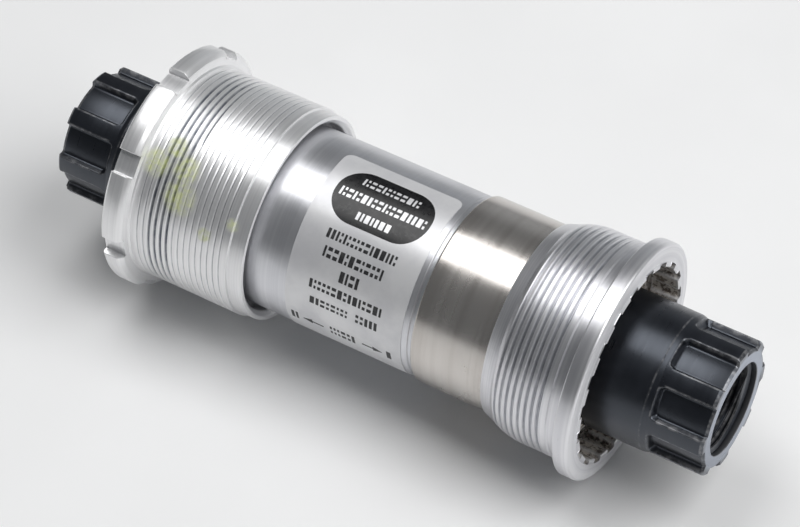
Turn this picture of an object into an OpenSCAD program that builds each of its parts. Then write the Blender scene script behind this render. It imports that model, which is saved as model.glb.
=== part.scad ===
// Sealed cartridge bottom bracket for a bicycle frame.
// The spindle lies along X with the drive side at +X. The origin is on the spindle's axis, midway between
// the two faces of the frame shell that the bracket is made for. Millimetres.

/* [Spindle] */
// Length of the spindle, end to end
spindle_len = 113; // [109:1:126]
// Diameter of the spindle's body
spindle_d = 22; // [21.9:0.05:22]
// Diameter over the spline lands at each end
spline_d = 21.5; // [21:0.1:21.8]
// Length of the splines at each end
spline_len = 9; // [5:0.5:9.5]
// Width of each of the eight spline lands
land_w = 2.9; // [2.1:0.1:3.2]
// Depth of the grooves between the lands
spline_depth = 1.15; // [0.8:0.05:1.3]
// Turn of the spindle from its lands standing at 0, 45 and 90 degrees
spindle_turn = -9; // [-22:1:22]

/* [Frame thread] */
// Width of the frame shell
shell_w = 73; // [68:1:73]
// Outer diameter of the cup threads, 1.37 inch
thread_d = 34.8; // [34.6:0.1:34.9]
// Pitch of the cup threads, 24 to the inch
thread_pitch = 1.0583; // [1.0:0.0001:1.1]
// Number of threads on the left cup
left_turns = 16; // [10:1:16]
// Number of threads on the right cup
right_turns = 8; // [5:1:9]

/* [Cups] */
// Diameter of the right cup's flange
right_flange_d = 38.3; // [37:0.1:39]
// Diameter of the left cup's flange, over its lugs
left_flange_d = 39.6; // [38.5:0.1:41]
// How far the left cup stands out from being fully home
left_gap = 2.1; // [0.2:0.1:4]
// Width of the notches round the left flange
notch_w = 3.7; // [2.5:0.1:5]
// Depth of the notches round the left flange
notch_depth = 1.2; // [0.6:0.1:1.6]

/* [Cartridge] */
// Outer diameter of the main shell
shell_d = 29.6; // [29.5:0.05:29.7]
// Outer diameter of the drive side bearing housing
housing_d = 30.6; // [30.4:0.05:30.7]
// Length of the label along the shell
label_len = 20.3; // [12:0.1:20.5]
// Arc of the label round the shell, in degrees
label_arc = 146; // [90:1:200]

/* [Bearings] */
// Diameter of the bearing balls, 7/64 inch
ball_d = 2.778; // [2.5:0.001:2.8]
// Number of balls in each row
balls = 18; // [12:1:22]
// Diameter of the needle rollers
needle_d = 2; // [1.8:0.05:2.1]
// Number of needle rollers in each row
needles = 24; // [16:1:28]

/* [Hidden] */

fine = 120;
eps = 0.02;                 // clear of a pressed neighbour, and how far a cutter passes a face
running = 0.08;             // radial clearance round everything that rolls or slides

spindle_r = spindle_d / 2;
spline_r = spline_d / 2;
floor_r = spline_r - spline_depth;
spindle_end = spindle_len / 2;
spline_x = spindle_end - spline_len;
spline_runout = 1.1;        // length over which a groove between two lands comes up to the surface
land_chamfer = 0.45;
end_chamfer = 0.3;
waist_r = spindle_r - 0.9;  // between the two pairs of bearings
waist_x = 13;
waist_runout = 2;
bolt_r = 7.5;               // M15 x 1 crank bolt thread
bolt_pitch = 1;
bolt_turns = 12;
bolt_minor_r = 6.96;
bolt_mouth = 1.3;           // plain length in front of the bolt thread
hollow_r = 7.6;

right_face = shell_w / 2;
thread_r = thread_d / 2;
groove_w = 0.46;            // opening of a thread groove at the crest
groove_depth = 0.42;
lead_in_r = 11.5;           // radius of the crowned start of the right cup
lead_in_x = right_face - 7.9;   // where the crown ends
right_outer = right_face + 2.6;
right_thread_x = right_face - 11.36;
right_relief_x = right_thread_x + right_turns * thread_pitch + 0.4;
relief_depth = 0.2;
right_start = right_face - 13.9;
left_face = -(right_face + left_gap);
left_outer = left_face - 3.56;
left_rim = left_face + 20.27;
left_plain_x = left_rim - 2.74;
left_thread_x = left_plain_x - left_turns * thread_pitch - 0.1;
guide_r = shell_d / 2 + running;

tool_teeth = 20;
tool_tip_r = 15.45;
tool_root_r = 16.3;
tool_slot_w = 2.3;
tool_turn = 1.7;
tool_depth = 4.4;
tool_lead = 0.5;            // chamfer on the mouth side of the tool teeth
lip_r = 13.2;
lip_len = 1.2;
rim_bore_r = 15.6;
plain_step = 0.4;           // the left cup's plain end is this much below its thread
lug_chamfer = 0.7;          // on the frame side of the left flange
notch_turn = 2;
edge = 0.4;                 // chamfer on the outer edges of both cups

shell_r = shell_d / 2;
housing_r = housing_d / 2;
seat_r = 14;                // bore that the bearings are pressed into
cart_end = right_face - 2.1;
housing_x = right_face - 26.2;
joint_x = housing_x + 4.6;  // end of the main shell inside the housing
joint_gap = 0.1;
groove_x = housing_x - 0.9; // start of the groove in the shell in front of the housing
shell_groove_depth = 0.25;
tube_chamfer = 0.3;
snap_groove_w = 0.9;
snap_groove_depth = 0.35;
label_x = housing_x - 22.1;
label_mid = 147;            // degrees from +Y towards +Z

// Stations of one bearing group, from the middle of the bracket outwards
sleeve_x = cart_end - 15.8;
sleeve_len = 8.6;
race_x = cart_end - 7.1;
race_len = 4;
ball_x = race_x + race_len / 2;
snap_x = cart_end - 3;
seal_x = cart_end - 2.1;
seal_len = 1.25;
cover_x = cart_end - 0.8;
cover_wall = 0.4;
needle_len = 6.4;
needle_x = sleeve_x + (sleeve_len - needle_len) / 2;

ball_r = ball_d / 2;
ball_pitch_r = 12.1;
race_bore_r = 13;
ball_cage_r = 12.6;
ball_cage_wall = 1;
ball_cage_len = 3.5;
needle_r = needle_d / 2;
needle_pitch_r = spindle_r + running + needle_r;
needle_cage_r = 12.5;
needle_cage_wall = 0.85;
needle_cage_rim = 0.35;
sleeve_flange_depth = 1;
sleeve_flange_w = 0.6;
spacer_r = 13.8;
spacer_wall = 0.7;
washer_bore_r = 11.9;
washer_len = 0.85;
washer_rise = 0.4;

// ---- helpers ----

// Turns local X, Y, Z into the bracket's Y, Z, X, so that a revolved shape lies along the spindle
module along_x() {
    rotate([90, 0, 90]) children();
}

// A solid of revolution about the spindle's axis, from points [radius, x]
module turned(points) {
    along_x() rotate_extrude($fn = fine) polygon(points);
}

module tube(r_out, r_in, x0, x1) {
    turned([[r_in, x0], [r_out, x0], [r_out, x1], [r_in, x1]]);
}

// A round ring of circular section, used to cut or fill a ball groove
module torus(ring_r, section_r, x) {
    along_x() translate([0, 0, x])
        rotate_extrude($fn = fine) translate([ring_r, 0]) circle(r = section_r, $fn = 48);
}

// Crest radius of the right cup at x: crowned at its inner end, then straight
function crest(x) =
    let (from_flat = lead_in_x - x)
    from_flat <= 0 ? thread_r : thread_r - lead_in_r + sqrt(pow(lead_in_r, 2) - pow(from_flat, 2));

// Outline points of a row of V grooves on a crest of radius r
function grooves(x0, n, pitch, r, depth, crowned = false) = [
    for (i = [0 : n - 1]) let (x = x0 + i * pitch) each [
        [crowned ? crest(x) : r, x],
        [(crowned ? crest(x + groove_w / 2) : r) - depth, x + groove_w / 2],
        [crowned ? crest(x + groove_w) : r, x + groove_w]
    ]
];

// The twenty square slots that the cup tool drives, from x0 to x1
module tool_slots(x0, x1) {
    slot_start = tool_tip_r - 0.6;
    along_x() translate([0, 0, x0]) linear_extrude(x1 - x0)
        for (i = [0 : tool_teeth - 1])
            rotate(tool_turn + i * 360 / tool_teeth)
                translate([slot_start, -tool_slot_w / 2]) square([tool_root_r - slot_start, tool_slot_w]);
}

// Puts a right-hand bearing part on the left side
module on_left() {
    mirror([1, 0, 0]) children();
}

// ---- spindle ----

// Eight parallel-sided lands between x0 and x1, with the ends of the lands chamfered
module lands(x0, x1) {
    intersection() {
        turned([
            [0, x0], [spline_r, x0], [spline_r, x1 - land_chamfer], [spline_r - land_chamfer, x1], [0, x1]
        ]);
        along_x() translate([0, 0, x0]) linear_extrude(x1 - x0)
            for (i = [0 : 3]) rotate(spindle_turn + i * 45) square([2 * spindle_r, land_w], center = true);
    }
}

// Half of the spindle's bore: bolt thread at the mouth, then the hollow
module spindle_bore() {
    thread_end = spindle_end - bolt_mouth;
    thread_x = thread_end - bolt_turns * bolt_pitch;
    thread_depth = bolt_r - bolt_minor_r;
    turned(concat(
        [[0, -eps], [hollow_r, -eps], [hollow_r, thread_x - 1], [bolt_minor_r, thread_x - 0.4]],
        grooves(thread_x, bolt_turns, bolt_pitch, bolt_minor_r, -thread_depth),
        [
            [bolt_minor_r, thread_end - 0.1], [bolt_r, thread_end + 0.3], [bolt_r, spindle_end - 0.1],
            [bolt_r + 0.12, spindle_end + eps], [0, spindle_end + eps]
        ]
    ));
}

module half_spindle() {
    difference() {
        union() {
            turned([
                [0, 0], [waist_r, 0], [waist_r, waist_x], [spindle_r, waist_x + waist_runout],
                [spindle_r, spline_x - 0.4], [spline_r, spline_x], [floor_r, spline_x + spline_runout],
                [floor_r, spindle_end - end_chamfer], [floor_r - end_chamfer, spindle_end], [0, spindle_end]
            ]);
            lands(spline_x, spindle_end);
        }
        spindle_bore();
        torus(ball_pitch_r, ball_r + running, ball_x);
    }
}

module spindle() {
    color("#1b1b1e") {
        half_spindle();
        on_left() half_spindle();
    }
}

// ---- cartridge ----

// The groove for the right snap ring, as a cutter
module snap_groove() {
    tube(seat_r + snap_groove_depth, seat_r - 1, snap_x - eps, snap_x + snap_groove_w);
}

module main_shell() {
    color("#b4b6b9") difference() {
        turned([
            [seat_r, -cart_end], [shell_r - tube_chamfer, -cart_end], [shell_r, -cart_end + tube_chamfer],
            [shell_r, groove_x], [shell_r - shell_groove_depth, groove_x + 0.2],
            [shell_r - shell_groove_depth, housing_x - 0.1], [shell_r, housing_x],
            [shell_r, joint_x], [seat_r, joint_x]
        ]);
        on_left() snap_groove();
    }
}

module drive_bearing_housing() {
    color("#8d867f") difference() {
        turned([
            [shell_r + eps, housing_x + 0.05], [housing_r - 0.1, housing_x + 0.05],
            [housing_r, housing_x + 0.75], [housing_r, cart_end - tube_chamfer],
            [housing_r - tube_chamfer, cart_end], [seat_r, cart_end],
            [seat_r, joint_x + joint_gap], [shell_r + eps, joint_x + joint_gap]
        ]);
        snap_groove();
    }
}

module spacer_sleeve() {
    color("#6f7277") tube(spacer_r, spacer_r - spacer_wall, -sleeve_x + washer_len + 0.05, sleeve_x - 0.05);
}

// A shallow cone washer that takes up the end play of the left bearings
module preload_washer() {
    x = -sleeve_x + 0.1;
    outer = seat_r - 0.15;
    color("#3c3f45") turned([
        [washer_bore_r, x], [washer_bore_r + 0.4, x], [outer, x + washer_rise],
        [outer, x + washer_len - 0.1], [outer - 0.45, x + washer_len - 0.1],
        [washer_bore_r, x + washer_len - 0.1 - washer_rise]
    ]);
}

module label() {
    color("#c9ccd0") rotate([label_mid - label_arc / 2, 0, 0]) along_x()
        rotate_extrude(angle = label_arc, $fn = fine)
            translate([shell_r + 0.01, label_x]) square([0.1, label_len]);
}

// ---- bearings, drawn for the right side ----

module needle_sleeve() {
    outer = seat_r - eps;
    inner = needle_pitch_r + needle_r + running;
    flange_r = inner - sleeve_flange_depth;
    sleeve_end = sleeve_x + sleeve_len;
    color("#9fa2a6") turned([
        [flange_r, sleeve_x], [outer, sleeve_x], [outer, sleeve_end], [flange_r, sleeve_end],
        [flange_r, sleeve_end - sleeve_flange_w], [inner, sleeve_end - sleeve_flange_w],
        [inner, sleeve_x + sleeve_flange_w], [flange_r, sleeve_x + sleeve_flange_w]
    ]);
}

module needle_rollers() {
    color("#d6d8da") for (i = [0 : needles - 1])
        rotate([i * 360 / needles, 0, 0]) translate([needle_x, needle_pitch_r, 0])
            rotate([0, 90, 0]) cylinder(r = needle_r, h = needle_len, $fn = 32);
}

module needle_cage() {
    color("#77797d") difference() {
        tube(needle_cage_r, needle_cage_r - needle_cage_wall,
             needle_x - needle_cage_rim, needle_x + needle_len + needle_cage_rim);
        for (i = [0 : needles - 1])
            rotate([i * 360 / needles, 0, 0]) translate([needle_x - 0.1, needle_pitch_r, 0])
                rotate([0, 90, 0]) cylinder(r = needle_r + running, h = needle_len + 0.2, $fn = 32);
    }
}

module ball_race() {
    color("#a7aaae") difference() {
        tube(seat_r - eps, race_bore_r, race_x, race_x + race_len);
        torus(ball_pitch_r, ball_r + running, ball_x);
    }
}

module bearing_balls() {
    color("#e2e3e5") for (i = [0 : balls - 1])
        rotate([i * 360 / balls, 0, 0]) translate([ball_x, ball_pitch_r, 0]) sphere(r = ball_r, $fn = 40);
}

module ball_cage() {
    color("#8a7a52") difference() {
        tube(ball_cage_r, ball_cage_r - ball_cage_wall,
             ball_x - ball_cage_len / 2, ball_x + ball_cage_len / 2);
        for (i = [0 : balls - 1])
            rotate([i * 360 / balls, 0, 0]) translate([ball_x, spindle_r, 0])
                rotate([-90, 0, 0]) cylinder(r = ball_r + running, h = 3, $fn = 40);
    }
}

// An open spring ring in the groove of the housing or shell
module snap_ring() {
    gap = 26;
    inner = 13.1;
    outer = seat_r + snap_groove_depth - 0.07;
    color("#2f3136") rotate([90 + gap / 2, 0, 0]) along_x()
        rotate_extrude(angle = 360 - gap, $fn = fine)
            translate([inner, snap_x + 0.05]) square([outer - inner, snap_groove_w - 0.14]);
}

// A rubber ring with one lip that runs on the spindle
module seal() {
    body_r = 12.3;
    lip_tip_r = spindle_r + running;
    seal_end = seal_x + seal_len;
    color("#26272a") turned([
        [body_r, seal_x], [seat_r - eps, seal_x], [seat_r - eps, seal_end], [body_r, seal_end],
        [lip_tip_r, seal_end - 0.1], [lip_tip_r, seal_end - 0.4], [body_r - 0.2, seal_x + 0.45]
    ]);
}

module dust_cover() {
    bore_r = spindle_r + 0.35;
    rim_r = seat_r - 0.5;
    rim_end = cart_end - 0.15;
    color("#5d564c") turned([
        [bore_r, cover_x], [seat_r - eps, cover_x], [seat_r - eps, rim_end],
        [rim_r, rim_end], [rim_r, cover_x + cover_wall], [bore_r, cover_x + cover_wall]
    ]);
}

// ---- cups ----

module right_cup() {
    bore_r = housing_r + eps;
    flange_r = right_flange_d / 2;
    recess_r = tool_root_r - 0.2;
    nose_step = (right_thread_x - right_start) / 6;
    color("#c8cacd") difference() {
        turned(concat(
            [[bore_r, right_start], [crest(right_start), right_start]],
            [for (k = [1 : 5]) [crest(right_start + k * nose_step), right_start + k * nose_step]],
            grooves(right_thread_x, right_turns, thread_pitch, thread_r, groove_depth, true),
            [
                [thread_r, right_relief_x], [thread_r - relief_depth, right_relief_x + relief_depth],
                [thread_r - relief_depth, right_face], [flange_r - 0.2, right_face],
                [flange_r, right_face + 0.2], [flange_r, right_outer - edge], [flange_r - edge, right_outer],
                [tool_tip_r + tool_lead, right_outer], [tool_tip_r, right_outer - tool_lead],
                [tool_tip_r, cart_end + 0.3], [recess_r, cart_end + 0.1],
                [recess_r, cart_end - 0.2], [bore_r, cart_end - 0.4]
            ]
        ));
        tool_slots(cart_end, right_outer + eps);
    }
}

// The cup's outline from its rim, over the thread and round the flange, then back through the bore
module left_cup() {
    flange_r = left_flange_d / 2;
    lip_x = left_outer + tool_depth;
    color("#cfd1d3") difference() {
        turned(concat(
            [
                [rim_bore_r, left_rim], [thread_r - plain_step - edge, left_rim],
                [thread_r - plain_step, left_rim - edge], [thread_r - plain_step, left_plain_x],
                [thread_r, left_plain_x - 0.1]
            ],
            [for (i = [len(left_grooves()) - 1 : -1 : 0]) left_grooves()[i]],
            [
                [thread_r + 0.2, left_face + 0.25], [thread_r + 0.2, left_face],
                [flange_r - lug_chamfer, left_face], [flange_r, left_face - lug_chamfer],
                [flange_r, left_outer + edge], [flange_r - edge, left_outer],
                [tool_tip_r + tool_lead, left_outer], [tool_tip_r, left_outer + tool_lead],
                [tool_tip_r, lip_x], [lip_r, lip_x], [lip_r, lip_x + lip_len],
                [guide_r, lip_x + lip_len], [guide_r, left_plain_x - 1], [rim_bore_r, left_plain_x]
            ]
        ));
        tool_slots(left_outer - eps, lip_x - 0.3);
        along_x() translate([0, 0, left_outer - eps]) linear_extrude(left_face - left_outer + 2 * eps)
            for (i = [0 : 7]) rotate(notch_turn + i * 45)
                translate([flange_r - notch_depth, -notch_w / 2]) square([notch_depth + 1, notch_w]);
    }
}

function left_grooves() = grooves(left_thread_x, left_turns, thread_pitch, thread_r, groove_depth);

// ---- nodes ----

spindle();
main_shell();
drive_bearing_housing();
right_cup();
left_cup();
label();
spacer_sleeve();
preload_washer();
needle_sleeve();  // right_needle_sleeve
needle_rollers();  // right_needle_rollers
needle_cage();  // right_needle_cage
ball_race();  // right_ball_race
bearing_balls();  // right_balls
ball_cage();  // right_ball_cage
snap_ring();  // right_snap_ring
seal();  // right_seal
dust_cover();  // right_dust_cover
on_left() needle_sleeve();  // left_needle_sleeve
on_left() needle_rollers();  // left_needle_rollers
on_left() needle_cage();  // left_needle_cage
on_left() ball_race();  // left_ball_race
on_left() bearing_balls();  // left_balls
on_left() ball_cage();  // left_ball_cage
on_left() snap_ring();  // left_snap_ring
on_left() seal();  // left_seal
on_left() dust_cover();  // left_dust_cover
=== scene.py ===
import math
import random

import bmesh
import bpy
import numpy as np
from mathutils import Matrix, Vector


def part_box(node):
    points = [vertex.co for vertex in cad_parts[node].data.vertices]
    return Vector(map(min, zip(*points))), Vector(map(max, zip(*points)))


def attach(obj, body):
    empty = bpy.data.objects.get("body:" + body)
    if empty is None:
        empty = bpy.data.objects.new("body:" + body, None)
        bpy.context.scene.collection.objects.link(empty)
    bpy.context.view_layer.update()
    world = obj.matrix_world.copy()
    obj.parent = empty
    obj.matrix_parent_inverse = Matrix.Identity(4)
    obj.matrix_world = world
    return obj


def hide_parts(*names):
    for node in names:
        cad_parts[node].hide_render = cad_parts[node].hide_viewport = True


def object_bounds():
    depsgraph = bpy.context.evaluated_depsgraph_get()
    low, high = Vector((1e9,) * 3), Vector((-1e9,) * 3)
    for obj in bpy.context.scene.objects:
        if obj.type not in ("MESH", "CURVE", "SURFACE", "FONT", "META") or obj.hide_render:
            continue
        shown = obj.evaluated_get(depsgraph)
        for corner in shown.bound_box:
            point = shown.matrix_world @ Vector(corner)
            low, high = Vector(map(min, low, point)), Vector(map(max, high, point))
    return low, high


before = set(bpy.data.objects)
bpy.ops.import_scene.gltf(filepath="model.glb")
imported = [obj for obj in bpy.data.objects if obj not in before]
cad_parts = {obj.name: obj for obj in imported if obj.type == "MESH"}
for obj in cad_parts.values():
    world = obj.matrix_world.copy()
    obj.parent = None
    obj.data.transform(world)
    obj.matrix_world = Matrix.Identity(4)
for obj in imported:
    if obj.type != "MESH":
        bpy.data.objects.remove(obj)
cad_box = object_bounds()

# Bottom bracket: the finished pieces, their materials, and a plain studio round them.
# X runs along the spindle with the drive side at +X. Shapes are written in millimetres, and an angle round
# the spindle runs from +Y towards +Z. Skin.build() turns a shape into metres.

MM = 0.001
FILLET_STEPS = 4
# The angle at which every thread's rows begin and end, which is underneath
SEAM = math.radians(-50)


def span(node):
    """The lowest and highest x of a CAD node, in millimetres."""
    low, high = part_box(node)
    return low.x / MM, high.x / MM


# Ends of the CAD nodes along the spindle
SPINDLE_END = span("spindle")[1]
SHELL_START, _ = span("main_shell")
HOUSING_START, CARTRIDGE_END = span("drive_bearing_housing")
RIGHT_START, RIGHT_OUTER = span("right_cup")
LEFT_OUTER, LEFT_RIM = span("left_cup")
LABEL_START, LABEL_END = span("label")
COVER_START, COVER_END = span("right_dust_cover")

# Spindle
SPINDLE_R = 11.0
WAIST_R = 10.1
WAIST_END = 13.0
LAND_R = 10.75
FLOOR_R = 9.6
LANDS = 8
LAND_HALF = 1.45
LAND_TURN = math.radians(-9)
SPLINE_START = 47.5
BOLT_R = 7.5
BOLT_MINOR_R = 6.96
BOLT_PITCH = 1.0
BOLT_TURNS = 11
BOLT_MOUTH = 1.3
HOLLOW_R = 7.6
BALL_X = 29.3
BALL_TRACK_R = 1.469
BALL_PITCH_R = 12.1

# Frame thread on both cups
THREAD_R = 17.4
PITCH = 1.0583
GROOVE_DEPTH = 0.42
RIGHT_THREAD = 24.89
RIGHT_TURNS = 8
LEFT_THREAD = -38.1
LEFT_TURNS = 15
CROWN_R = 9.5
CROWN_FROM = 28.9
NOSE_R = 15.68

# Cups
RIGHT_FLANGE_R = 19.15
RIGHT_FACE = 36.5
RELIEF_R = 17.2
RIGHT_BORE_R = 15.32
LEFT_FLANGE_R = 19.8
LEFT_FACE = -38.6
NECK_R = 17.6
PLAIN_R = 17.0
PLAIN_START = -20.95
RIM_BORE_R = 15.6
GUIDE_R = 14.88
LIP_R = 13.2
NOTCHES = 8
NOTCH_HALF = 1.85
NOTCH_FLOOR_R = 18.6
NOTCH_TURN = math.radians(2)
TEETH = 20
TOOTH_TIP_R = 15.45
TOOTH_ROOT_R = 16.3
SLOT_HALF = 1.15
TOOTH_TURN = math.radians(1.7)
CUP_COLUMNS = 480
THREAD_COLUMNS = 240

# Cartridge
SHELL_R = 14.8
HOUSING_R = 15.3
SEAT_R = 14.0
JOINT_END = 14.9
JOINT_GAP = 0.1
HOUSING_LAP_R = SHELL_R + 0.02
SNAP_X = 31.4
SNAP_WIDTH = 0.9
SNAP_R = SEAT_R + 0.34
TUBE_COLUMNS = 256

# Label, which goes round from angle LABEL_TOP to LABEL_FOOT, and its badge (x from and to, angle from and to)
LABEL_UNDER_R = 14.81
LABEL_R = 14.91
LABEL_TOP = 74
LABEL_FOOT = 220
LABEL_CORNER = 1.4
PRINT_UNDER_R = LABEL_R - 0.02
PRINT_R = 14.935
BADGE = (-9.7, 6.6, 83.4, 119.8)
BADGE_CORNER = 4.5
BADGE_PRINT_R = PRINT_R + 0.02

# Camera and studio
AZIMUTH = 30.77
ELEVATION = 47.7
DISTANCE = 0.4788
AIM_RIGHT = -0.00035
LENS = 141.2


# ---- outlines ----

def rounded(corners, closed=True):
    """The outline through corners (x, r, fillet) with its corners rounded, as points (x, r, wear).

    It runs towards +X on the outside of the metal, so wear is 1 where a rounded corner stands out. On bright
    metal that wear is partly a painted highlight along the edge."""
    points = []
    count = len(corners)
    for k, (x, r, fillet) in enumerate(corners):
        here = Vector((x, r))
        is_end = not closed and k in (0, count - 1)
        if fillet == 0 or is_end:
            points.append((x, r, 0.0))
            continue
        back = Vector(corners[k - 1][:2]) - here
        ahead = Vector(corners[(k + 1) % count][:2]) - here
        first = here + back.normalized() * min(fillet, back.length * 0.49)
        last = here + ahead.normalized() * min(fillet, ahead.length * 0.49)
        outer_corner = back.cross(ahead) > 0
        for step in range(FILLET_STEPS + 1):
            t = step / FILLET_STEPS
            wear_and_highlight = math.sin(math.pi * t) if outer_corner else 0.0
            point = first * (1 - t) ** 2 + here * 2 * t * (1 - t) + last * t * t
            points.append((point.x, point.y, wear_and_highlight))
    return points


class Outline:
    """The radius round the axis of a ring with equal parallel-sided slots or lands in it.

    centre_r is the radius in the middle of each slot or land, and side_r the radius between them.
    fillets are those of the corner at centre_r and of the one at side_r. half is the number of columns from
    the middle of one slot or land to the middle of the next gap."""

    STEPS = 3

    def __init__(self, count, turn, half_width, centre_r, side_r, fillets, outer_corner, half):
        corner = [math.asin(half_width / r) for r in (centre_r, side_r)]
        wall = math.copysign(1, side_r - centre_r)
        arc_end = corner[0] - fillets[0] / centre_r
        arc_start = corner[1] + fillets[1] / side_r
        filleted = 2 * (self.STEPS + 1)
        centre_columns = max(1, round((half - filleted) * arc_end / (math.pi / count)))
        side_columns = half - filleted - centre_columns
        columns = [(arc_end * k / centre_columns, centre_r, 0) for k in range(centre_columns)]
        low = (math.cos(corner[0]) * centre_r, half_width)
        high = (math.cos(corner[1]) * side_r, half_width)
        columns += self.corner(
            (centre_r * math.cos(arc_end), centre_r * math.sin(arc_end)), low,
            (low[0] + wall * fillets[0], half_width), outer_corner == 0)
        columns += self.corner(
            (high[0] - wall * fillets[1], half_width), high,
            (side_r * math.cos(arc_start), side_r * math.sin(arc_start)), outer_corner == 1)
        rest = math.pi / count - arc_start
        columns += [(arc_start + rest * (k + 1) / side_columns, side_r, 0) for k in range(side_columns)]
        mirrored = [(-angle, radius, wear_and_highlight) for angle, radius, wear_and_highlight in columns[-2:0:-1]]
        period = np.array(mirrored + columns, float)
        turns = turn + np.arange(count) * 2 * math.pi / count
        self.angles = (period[:, 0] + turns[:, None]).ravel()
        self.radii = np.tile(period[:, 1], count)
        self.wear_and_highlight = np.tile(period[:, 2], count)

    def corner(self, first, middle, last, outer_corner):
        """Points (angle, radius, wear) of a rounded corner from first past middle to last."""
        points = []
        for step in range(self.STEPS + 1):
            t = step / self.STEPS
            shares = ((1 - t) ** 2, 2 * t * (1 - t), t * t)
            u, v = np.dot(shares, (first, middle, last))
            points.append((math.atan2(v, u), math.hypot(u, v), float(outer_corner)))
        return points


def smooth(value):
    """0 below 0, 1 above 1 and an easy curve between."""
    value = np.clip(value, 0, 1)
    return value * value * (3 - 2 * value)


# ---- meshes ----

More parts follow.
